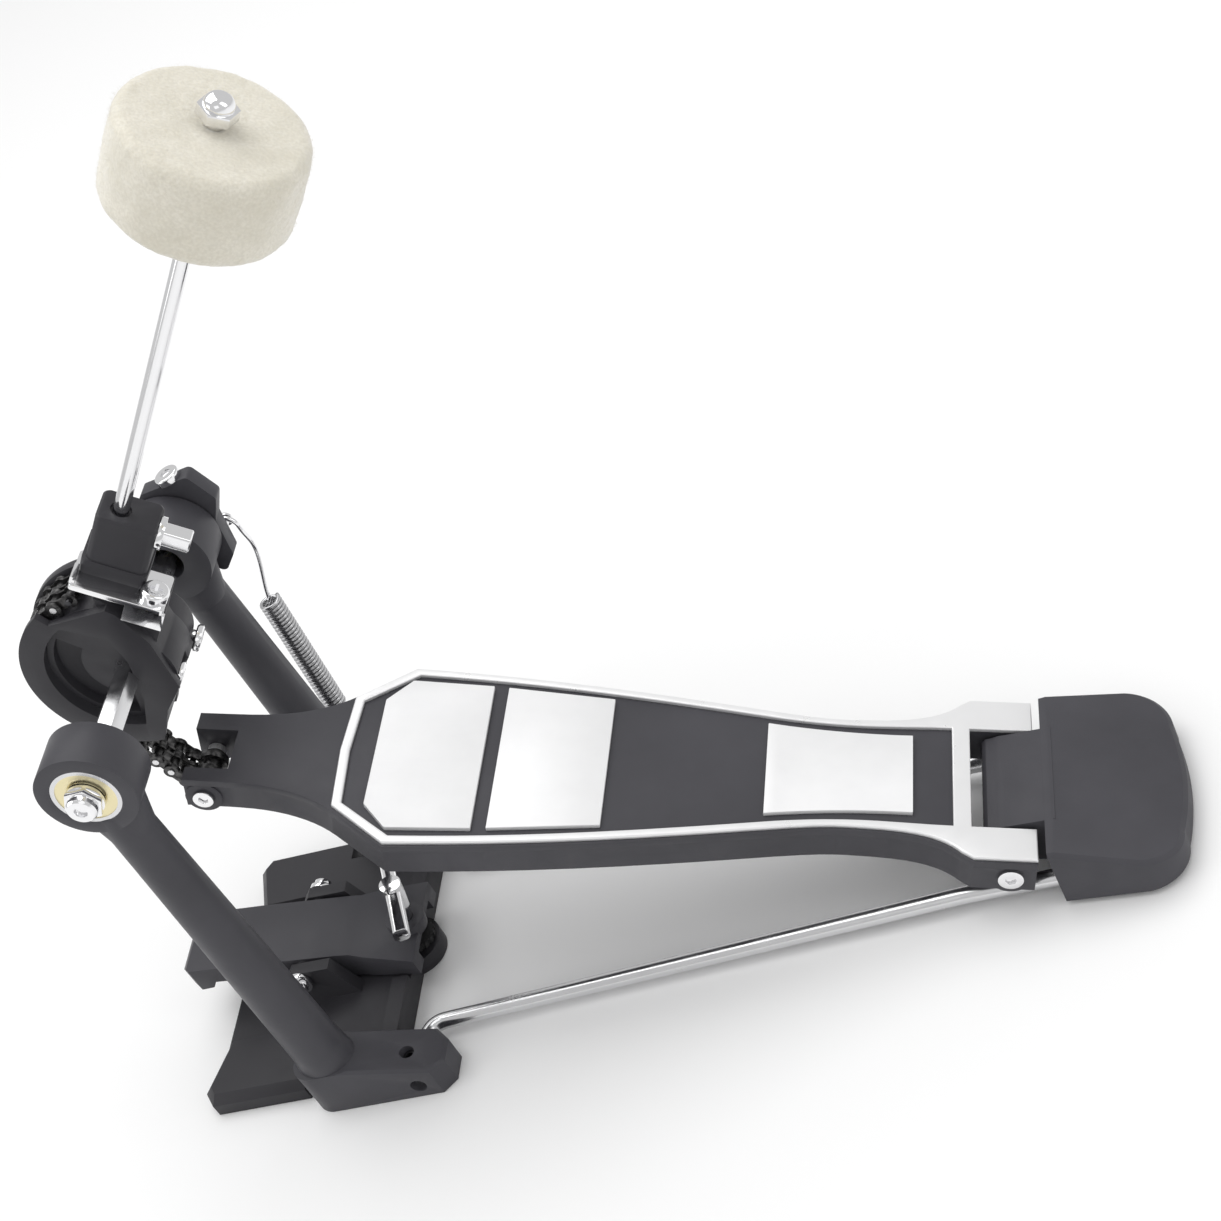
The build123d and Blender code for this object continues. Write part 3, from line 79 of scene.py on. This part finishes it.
def weld_group():
    """Drops the imported normals and joins the vertices that were split along hard edges."""
    tree = bpy.data.node_groups.new("weld_seams", "GeometryNodeTree")
    geometry = group_input(tree)
    remove = tree.nodes.new("GeometryNodeRemoveAttribute")
    remove.inputs["Name"].default_value = "custom_normal"
    merge = tree.nodes.new("GeometryNodeMergeByDistance")
    merge.inputs["Distance"].default_value = WELD_DISTANCE
    tree.links.new(geometry, remove.inputs[0])
    tree.links.new(remove.outputs[0], merge.inputs["Geometry"])
    group_output(tree, merge.outputs[0])
    return tree


def smooth_group(angle):
    """Smooth faces, with edges sharper than the angle kept hard."""
    tree = bpy.data.node_groups.new("smooth_by_angle", "GeometryNodeTree")
    geometry = group_input(tree)
    faces = tree.nodes.new("GeometryNodeSetShadeSmooth")
    edges = tree.nodes.new("GeometryNodeSetShadeSmooth")
    edges.domain = "EDGE"
    edges.inputs["Shade Smooth"].default_value = False
    edge_angle = tree.nodes.new("GeometryNodeInputMeshEdgeAngle")
    sharper = tree.nodes.new("FunctionNodeCompare")
    sharper.inputs["B"].default_value = angle
    tree.links.new(edge_angle.outputs["Unsigned Angle"], sharper.inputs["A"])
    tree.links.new(geometry, faces.inputs["Geometry"])
    tree.links.new(faces.outputs[0], edges.inputs["Geometry"])
    tree.links.new(sharper.outputs[0], edges.inputs["Selection"])
    group_output(tree, edges.outputs[0])
    return tree


HARD_EDGE = math.radians(32)
WELD = weld_group()
SMOOTH = smooth_group(HARD_EDGE)


def finish_edges(obj, bevel):
    """Welds the CAD mesh, rounds its edges by bevel metres and shades it smooth."""
    obj.modifiers.new("weld", "NODES").node_group = WELD
    if bevel:
        rounding = obj.modifiers.new("edge_rounding", "BEVEL")
        rounding.width = bevel
        rounding.segments = 2
        rounding.limit_method = "ANGLE"
        rounding.angle_limit = HARD_EDGE
        rounding.use_clamp_overlap = True
    obj.modifiers.new("smooth", "NODES").node_group = SMOOTH


# ---------------------------------------------------------------- material building blocks
class Shader:
    """A principled material with short calls for the nodes used here."""

    def __init__(self, name, colour, roughness, metallic=0.0):
        self.material = bpy.data.materials.new(name)
        self.material.use_nodes = True
        self.tree = self.material.node_tree
        self.bsdf = self.tree.nodes["Principled BSDF"]
        self.bsdf.inputs["Base Color"].default_value = (*colour, 1)
        self.bsdf.inputs["Roughness"].default_value = roughness
        self.bsdf.inputs["Metallic"].default_value = metallic
        self.where = self.node("ShaderNodeTexCoord").outputs["Object"]
        self.height = None

    def node(self, kind, **settings):
        made = self.tree.nodes.new(kind)
        for key, value in settings.items():
            setattr(made, key, value)
        return made

    def link(self, a, b):
        self.tree.links.new(a, b)

    def set(self, **values):
        for key, value in values.items():
            self.bsdf.inputs[key.replace("_", " ")].default_value = value
        return self

    def stretched(self, scale):
        """Object coordinates stretched by a vector, for grain that runs one way."""
        mapping = self.node("ShaderNodeMapping")
        mapping.inputs["Scale"].default_value = scale
        self.link(self.where, mapping.inputs["Vector"])
        return mapping.outputs[0]

    def noise(self, per_metre, detail=3.0, vector=None):
        made = self.node("ShaderNodeTexNoise")
        made.inputs["Scale"].default_value = per_metre
        made.inputs["Detail"].default_value = detail
        self.link(vector or self.where, made.inputs["Vector"])
        return made.outputs[0]

    def spread(self, value, low, high, start=0.3, stop=0.7):
        """Value from start to stop mapped to low to high."""
        made = self.node("ShaderNodeMapRange")
        made.inputs["From Min"].default_value = start
        made.inputs["From Max"].default_value = stop
        made.inputs["To Min"].default_value = low
        made.inputs["To Max"].default_value = high
        self.link(value, made.inputs["Value"])
        return made.outputs[0]

    def mix(self, factor, first, second):
        made = self.node("ShaderNodeMix", data_type="RGBA")
        for socket, value in ((made.inputs[6], first), (made.inputs[7], second)):
            if isinstance(value, tuple):
                socket.default_value = (*value, 1)
            else:
                self.link(value, socket)
        self.link(factor, made.inputs[0])
        return made.outputs[2]

    def bump(self, value, depth, strength=1.0):
        """Adds a height layer, depth in metres."""
        made = self.node("ShaderNodeBump")
        made.inputs["Strength"].default_value = strength
        made.inputs["Distance"].default_value = depth
        self.link(value, made.inputs["Height"])
        if self.height:
            self.link(self.height, made.inputs["Normal"])
        self.height = made.outputs[0]
        self.link(self.height, self.bsdf.inputs["Normal"])
        return self

    def colour(self, socket):
        self.link(socket, self.bsdf.inputs["Base Color"])
        return self

    def rough(self, socket):
        self.link(socket, self.bsdf.inputs["Roughness"])
        return self


def scaled(colour, factor):
    return tuple(c * factor for c in colour)


def coated(name, colour, roughness, grain_depth, grain_per_metre=1500.0):
    """Satin black coat: fine orange peel, slow colour drift and handled patches."""
    s = Shader(name, colour, roughness)
    drift = s.noise(22.0, 4.0)
    s.colour(s.mix(s.spread(drift, 0.0, 1.0), scaled(colour, 0.86), scaled(colour, 1.14)))
    patches = s.noise(90.0, 5.0)
    s.rough(s.spread(patches, roughness - 0.05, roughness + 0.07))
    s.bump(s.noise(grain_per_metre, 2.0), grain_depth)
    s.set(Specular_IOR_Level=0.3)
    return s.material


def plated(name, colour, roughness, streaks=None, variation=0.05):
    """Bright metal with faint handling marks; streaks is the stretch of the drawing lines."""
    s = Shader(name, colour, roughness, metallic=1.0)
    marks = s.noise(160.0, 6.0)
    s.rough(s.spread(marks, max(roughness - variation, 0.02), roughness + variation))
    if streaks:
        lines = s.noise(420.0, 2.0, s.stretched(streaks))
        s.bump(lines, 0.012 * MM, 0.5)
    return s.material


COAT = (0.055, 0.054, 0.062)
PLASTIC_COAT = (0.034, 0.033, 0.038)

materials = {
    "casting": coated("casting", COAT, 0.44, 0.020 * MM),
    "heel_casting": coated("heel_casting", scaled(COAT, 1.12), 0.56, 0.045 * MM, 1900.0),
    "steel_plate": coated("steel_plate", scaled(PLASTIC_COAT, 0.9), 0.46, 0.020 * MM),
    "cam": coated("cam_coat", PLASTIC_COAT, 0.42, 0.018 * MM),
    "chrome": plated("chrome", (0.88, 0.88, 0.89), 0.09, variation=0.035),
    "steel": plated("steel", (0.70, 0.70, 0.71), 0.22, (1.0, 1.0, 0.02), 0.06),
    "zinc": plated("yellow_zinc", (0.80, 0.72, 0.46), 0.30),
    "rubber": coated("rubber", (0.020, 0.020, 0.021), 0.72, 0.05 * MM, 900.0),
    "black_oxide": plated("black_oxide", (0.07, 0.07, 0.075), 0.36),
    "spring_wire": plated("spring_wire", (0.52, 0.52, 0.53), 0.24),
}


def tread_metal():
    """Satin silver tread plates with a fine cross-brushed grain."""
    s = Shader("tread", (0.86, 0.86, 0.865), 0.5, metallic=0.25)
    along = s.noise(260.0, 3.0, s.stretched((1.0, 9.0, 1.0)))
    cloud = s.noise(45.0, 4.0)
    s.colour(s.mix(s.spread(cloud, 0.0, 1.0), (0.83, 0.83, 0.835), (0.89, 0.89, 0.895)))
    s.rough(s.spread(along, 0.44, 0.58))
    s.bump(along, 0.006 * MM, 0.4)
    return s.material


def trim_metal():
    """Bright satin moulding round the deck."""
    s = Shader("trim", (0.88, 0.88, 0.885), 0.32, metallic=0.45)
    marks = s.noise(160.0, 6.0)
    s.rough(s.spread(marks, 0.27, 0.38))
    return s.material


CHAIN_LINE_Y = -2.2 * MM          # middle of the chain
PLATE_REACH = 6.5 * MM            # outer plates end here; only the pins reach further


def chain_metal():
    """Black finished steel, a little rubbed, with bright riveted pin ends."""
    s = Shader("chain_steel", (0.05, 0.049, 0.05), 0.34)
    s.set(Metallic=0.8)
    split = s.node("ShaderNodeSeparateXYZ")
    s.link(s.where, split.inputs[0])
    from_line = s.node("ShaderNodeMath", operation="SUBTRACT")
    from_line.inputs[1].default_value = CHAIN_LINE_Y
    s.link(split.outputs["Y"], from_line.inputs[0])
    away = s.node("ShaderNodeMath", operation="ABSOLUTE")
    s.link(from_line.outputs[0], away.inputs[0])
    pin_end = s.node("ShaderNodeMath", operation="GREATER_THAN")
    pin_end.inputs[1].default_value = PLATE_REACH
    s.link(away.outputs[0], pin_end.inputs[0])
    grime = s.noise(700.0, 4.0)
    rubbed = s.spread(grime, 0.0, 1.0, 0.38, 0.62)
    plate = s.mix(rubbed, (0.032, 0.031, 0.032), (0.10, 0.098, 0.098))
    s.colour(s.mix(pin_end.outputs[0], plate, (0.80, 0.80, 0.81)))
    s.rough(s.spread(grime, 0.42, 0.26))
    return s.material


def felt_material():
    """Pressed wool: cream, mottled, matted fibres."""
    s = Shader("felt", (0.83, 0.79, 0.67), 0.95)
    cloud = s.noise(75.0, 4.0)
    fibre = s.noise(1150.0, 5.0)
    mottle = s.spread(cloud, 0.0, 1.0, 0.35, 0.65)
    tone = s.mix(mottle, (0.70, 0.665, 0.565), (0.79, 0.755, 0.66))
    s.colour(s.mix(s.spread(fibre, 0.0, 0.45, 0.35, 0.62), tone, (0.60, 0.565, 0.47)))
    s.bump(s.noise(420.0, 6.0), 0.35 * MM, 0.55)
    s.bump(fibre, 0.16 * MM, 0.6)
    s.set(Sheen_Weight=0.55, Sheen_Roughness=0.5, Specular_IOR_Level=0.15, Subsurface_Weight=0.12)
    s.bsdf.inputs["Subsurface Radius"].default_value = (0.002, 0.0018, 0.0014)
    return s.material


materials["tread"] = tread_metal()
materials["trim"] = trim_metal()
materials["chain_steel"] = chain_metal()
materials["felt"] = felt_material()

# nodes whose finish differs from their slot's usual one
SPECIAL = {
    "axle_nut": "chrome",
    "board_trim": "trim",
}

# edge rounding in millimetres; the other nodes keep sharp edges
BEVELS = {
    "base_plate": 0.5, "left_post": 0.5, "right_post": 0.5, "footboard": 0.35, "heel_plate": 0.7,
    "clamp_jaw": 0.5, "cam": 0.35, "holder_hub": 0.4, "beater_holder": 0.4, "spring_rocker": 0.5,
    "clamp_strap": 0.2, "key_bolt": 0.15, "acorn_nut": 0.25, "axle_nut": 0.25, "board_trim": 0.15,
    "tread_plate_heel": 0.3, "tread_plate_middle": 0.3, "tread_plate_toe": 0.3,
    "clamp_tee_bolt": 0.3,
    "hex_axle": 0.2, "heel_pad": 0.4, "jaw_pad": 0.3, "toe_pin": 0.2, "heel_pins": 0.2,
    "hub_set_screws": 0.2, "tension_nuts": 0.15, "clamp_screw_foot": 0.25, "chain_end_barrel": 0.15,
    "chain_anchor_pin": 0.1, "jaw_pivot_bolt": 0.25, "rocker_pin": 0.2, "rocker_screw": 0.15,
}

for part in frame["record"]["subparts"]:
    name = part["node"]
    obj = nodes[name]
    obj.data.materials.clear()
    obj.data.materials.append(materials[SPECIAL.get(name, part["material_slot"])])
    finish_edges(obj, BEVELS.get(name, 0) * MM)


# ---------------------------------------------------------------- new pieces
def mesh_object(name, vertices, faces, material):
    data = bpy.data.meshes.new(name)
    data.from_pydata([tuple(v) for v in vertices], [], faces)
    data.validate()
    data.polygons.foreach_set("use_smooth", [True] * len(data.polygons))
    data.materials.append(material)
    obj = bpy.data.objects.new(name, data)
    bpy.context.scene.collection.objects.link(obj)
    return obj


def tube_along(points, radius, sides):
    """Vertices and faces of a closed tube through the points."""
    vertices, faces = [], []
    side_axis = None
    for i, point in enumerate(points):
        ahead = points[min(i + 1, len(points) - 1)]
        behind = points[max(i - 1, 0)]
        direction = (ahead - behind).normalized()
        if side_axis is None:
            side_axis = direction.orthogonal().normalized()
        side_axis = (side_axis - direction * side_axis.dot(direction)).normalized()
        other = direction.cross(side_axis)
        for k in range(sides):
            angle = 2 * math.pi * k / sides
            spoke = side_axis * math.cos(angle) + other * math.sin(angle)
            vertices.append(point + spoke * radius)
    for i in range(len(points) - 1):
        for k in range(sides):
            a, b = i * sides + k, i * sides + (k + 1) % sides
            faces.append((a, b, b + sides, a + sides))
    last = (len(points) - 1) * sides
    faces.append(tuple(reversed(range(sides))))
    faces.append(tuple(range(last, last + sides)))
    return vertices, faces


SPRING_WIRE_R = 0.72 * MM
SPRING_TURNS = 33
STEPS_PER_TURN = 24


def return_spring():
    """Close-wound coil between the tension rod's eye and the hook."""
    low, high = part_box("return_spring")
    wire, turns, per_turn = SPRING_WIRE_R, SPRING_TURNS, STEPS_PER_TURN
    coil_r = (high.y - low.y) / 2 - wire
    bottom = Vector((low.x + coil_r + wire, (low.y + high.y) / 2, low.z + wire))
    top = Vector((high.x - coil_r - wire, bottom.y, high.z - wire))
    axis = (top - bottom).normalized()
    across = axis.orthogonal().normalized()
    other = axis.cross(across)
    points = []
    for i in range(turns * per_turn + 1):
        share = i / (turns * per_turn)
        angle = 2 * math.pi * i / per_turn
        centre = bottom.lerp(top, share)
        points.append(centre + (across * math.cos(angle) + other * math.sin(angle)) * coil_r)
    vertices, faces = tube_along(points, wire, 8)
    coil = mesh_object("return_spring_coil", vertices, faces, materials["spring_wire"])
    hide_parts("return_spring")
    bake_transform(coil)


return_spring()


RIM_R = 3.6 * MM                  # rounding of the felt's rims
BORE_R = 2.5 * MM
UNDERSIDE_HOLLOW = 0.5 * MM
WALL_BULGE = 0.25 * MM
DENT, DENT_R = 0.7 * MM, 5.5 * MM       # the nut pulls the top in
SMOOTH_R = 6 * MM                 # the felt under the nut stays even
LUMPS = ((190, 0.28 * MM), (620, 0.14 * MM))        # noise per metre and its height
AROUND, FLAT_STEPS, RIM_STEPS, WALL_STEPS = 220, 22, 10, 26


def felt_profile(radius, lift):
    """(radius, height) from the bore at the bottom, round the outside, to the bore at the top."""
    profile = []
    for i in range(FLAT_STEPS):
        r = BORE_R + (radius - RIM_R - BORE_R) * i / FLAT_STEPS
        profile.append((r, -lift + UNDERSIDE_HOLLOW * (1 - r / radius)))
    for i in range(RIM_STEPS):
        angle = math.pi / 2 * i / RIM_STEPS
        r = radius - RIM_R + RIM_R * math.sin(angle)
        profile.append((r, -lift + RIM_R - RIM_R * math.cos(angle)))
    for i in range(WALL_STEPS):
        share = i / WALL_STEPS
        bulge = WALL_BULGE * math.sin(math.pi * share)
        profile.append((radius + bulge, -lift + RIM_R + (2 * lift - 2 * RIM_R) * share))
    for i in range(RIM_STEPS):
        angle = math.pi / 2 * i / RIM_STEPS
        r = radius - RIM_R + RIM_R * math.cos(angle)
        profile.append((r, lift - RIM_R + RIM_R * math.sin(angle)))
    for i in range(FLAT_STEPS + 1):
        r = radius - RIM_R - (radius - RIM_R - BORE_R) * i / FLAT_STEPS
        profile.append((r, lift - DENT * math.exp(-((r - BORE_R) / DENT_R) ** 2)))
    return profile


def felt_beater():
    """Felt head: crowned, a little barrel shaped, with soft uneven rims."""
    low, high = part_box("felt_beater")
    rod_low, rod_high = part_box("beater_rod")
    axis = Vector((rod_high.x - rod_low.x, 0, rod_high.z - rod_low.z)).normalized()
    centre = (low + high) / 2
    radius = (high.y - low.y) / 2
    lift = (high.z - low.z - 2 * radius * axis.x) / axis.z / 2
    across = Vector((axis.z, 0, -axis.x))
    side = Vector((0, 1, 0))
    profile = felt_profile(radius, lift)
    vertices = []
    for r, height in profile:
        for k in range(AROUND):
            angle = 2 * math.pi * k / AROUND
            outward = across * math.cos(angle) + side * math.sin(angle)
            point = centre + outward * r + axis * height
            rough = 0.0
            if r >= SMOOTH_R:
                rough = sum(noise.noise(point * pitch) * depth for pitch, depth in LUMPS)
            away = (outward * r + axis * height).normalized()
            vertices.append(point + away * rough)
    faces = []
    rows = len(profile)
    for i in range(rows):
        for k in range(AROUND):
            this_row, next_row = i * AROUND, (i + 1) % rows * AROUND
            after = (k + 1) % AROUND
            faces.append((this_row + k, this_row + after, next_row + after, next_row + k))
    body = mesh_object("felt_beater_head", vertices, faces, materials["felt"])
    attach(body, "beater")
    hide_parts("felt_beater")
    return centre, axis, across, side, radius, lift


FIBRES = 9000
WALL_SHARE = 0.62                 # fibres on the wall; the rest stand on the flat faces
TOP_SHARE = 0.7
BARE_R = 8.5 * MM                 # no fibres under the nut
FIBRE_LENGTH_MM = (0.5, 1.3)
FIBRE_HALF_WIDTH = 0.014 * MM
ROOT_DEPTH = 0.2 * MM


def felt_fuzz(centre, axis, across, side, radius, lift):
    """Short loose fibres that soften the felt's outline."""
    vertices, faces = [], []
    for _ in range(FIBRES):
        angle = random.uniform(0, 2 * math.pi)
        outward = across * math.cos(angle) + side * math.sin(angle)
        if random.random() < WALL_SHARE:
            height = random.uniform(-lift + 0.6 * RIM_R, lift - 0.4 * RIM_R)
            root, normal = centre + outward * radius + axis * height, outward
        else:
            r = (radius - 0.5 * RIM_R) * math.sqrt(random.random())
            if r < BARE_R:
                continue
            end = 1 if random.random() < TOP_SHARE else -1
            root, normal = centre + outward * r + axis * lift * end, axis * end
        lean = Vector([random.gauss(0, 1) for _ in range(3)]).normalized()
        direction = (normal * random.uniform(0.15, 0.7) + lean).normalized()
        if direction.dot(normal) < 0.05:
            direction = (direction + normal * 0.4).normalized()
        length = random.uniform(*FIBRE_LENGTH_MM) * MM
        width = direction.orthogonal().normalized() * FIBRE_HALF_WIDTH
        middle = root + direction * length * 0.55 + lean * 0.12 * length
        tip = root + direction * length + lean * 0.3 * length
        base = len(vertices)
        sunk = root - normal * ROOT_DEPTH
        vertices += [sunk - width, sunk + width]
        vertices += [middle - width * 0.8, middle + width * 0.8, tip]
        faces += [(base, base + 1, base + 3, base + 2), (base + 2, base + 3, base + 4)]
    fuzz = mesh_object("felt_fibres", vertices, faces, materials["felt"])
    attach(fuzz, "beater")


felt_fuzz(*felt_beater())


# ---------------------------------------------------------------- floor, light, camera
FLOOR_SIZE = 12.0
FLOOR_PLACE = (0.1, 0, -0.0002)


def floor():
    bpy.ops.mesh.primitive_plane_add(size=FLOOR_SIZE, location=FLOOR_PLACE)
    plane = bpy.context.object
    plane.name = "floor"
    s = Shader("floor", (0.93, 0.93, 0.93), 0.8)
    s.set(Specular_IOR_Level=0.2)
    plane.data.materials.append(s.material)


AIM = (0.1, 0.0, 0.1)
# name, place, size, power in watts
SOFTBOXES = (
    ("overhead", (-0.15, 0.35, 1.5), (1.5, 1.5), 13),
    ("left", (-1.3, -0.7, 0.8), (0.8, 1.2), 3.4),
    ("right", (1.5, -0.3, 0.9), (0.7, 1.2), 2.8),
    ("front", (0.5, -1.7, 1.3), (1.2, 0.8), 1.4),
)
SKY_STRENGTH = 0.64


def softbox(name, place, size, power):
    lamp = bpy.data.lights.new(name, "AREA")
    lamp.shape = "RECTANGLE"
    lamp.size, lamp.size_y = size
    lamp.energy = power
    obj = bpy.data.objects.new(name, lamp)
    obj.location = place
    obj.rotation_euler = (Vector(AIM) - Vector(place)).to_track_quat("-Z", "Y").to_euler()
    bpy.context.scene.collection.objects.link(obj)


floor()
for box in SOFTBOXES:
    softbox(*box)

world = bpy.data.worlds.new("studio")
world.use_nodes = True
world.node_tree.nodes["Background"].inputs["Color"].default_value = (1.0, 1.0, 1.0, 1)
world.node_tree.nodes["Background"].inputs["Strength"].default_value = SKY_STRENGTH
bpy.context.scene.world = world
bpy.context.scene.view_settings.view_transform = "Standard"

AZIMUTH, ELEVATION, ROLL = (math.radians(a) for a in (25.16, 37.66, 30.01))
CAMERA_PLACE = (0.39441, -0.51580, 0.57389)
LENS_MM, SENSOR_MM = 69.84, 36.0


def photo_camera():
    """Camera at the photograph's angle: azimuth and elevation round the part, then a roll."""
    back = Vector((
        math.sin(AZIMUTH) * math.cos(ELEVATION),
        -math.cos(AZIMUTH) * math.cos(ELEVATION),
        math.sin(ELEVATION),
    ))
    level_right = Vector((0, 0, 1)).cross(back).normalized()
    level_up = back.cross(level_right)
    right = level_right * math.cos(ROLL) - level_up * math.sin(ROLL)
    up = level_right * math.sin(ROLL) + level_up * math.cos(ROLL)
    data = bpy.data.cameras.new("camera")
    data.lens, data.sensor_width = LENS_MM, SENSOR_MM
    camera = bpy.data.objects.new("camera", data)
    turn = Matrix((right, up, back)).transposed().to_4x4()
    camera.matrix_world = Matrix.Translation(CAMERA_PLACE) @ turn
    bpy.context.scene.collection.objects.link(camera)
    bpy.context.scene.camera = camera


photo_camera()
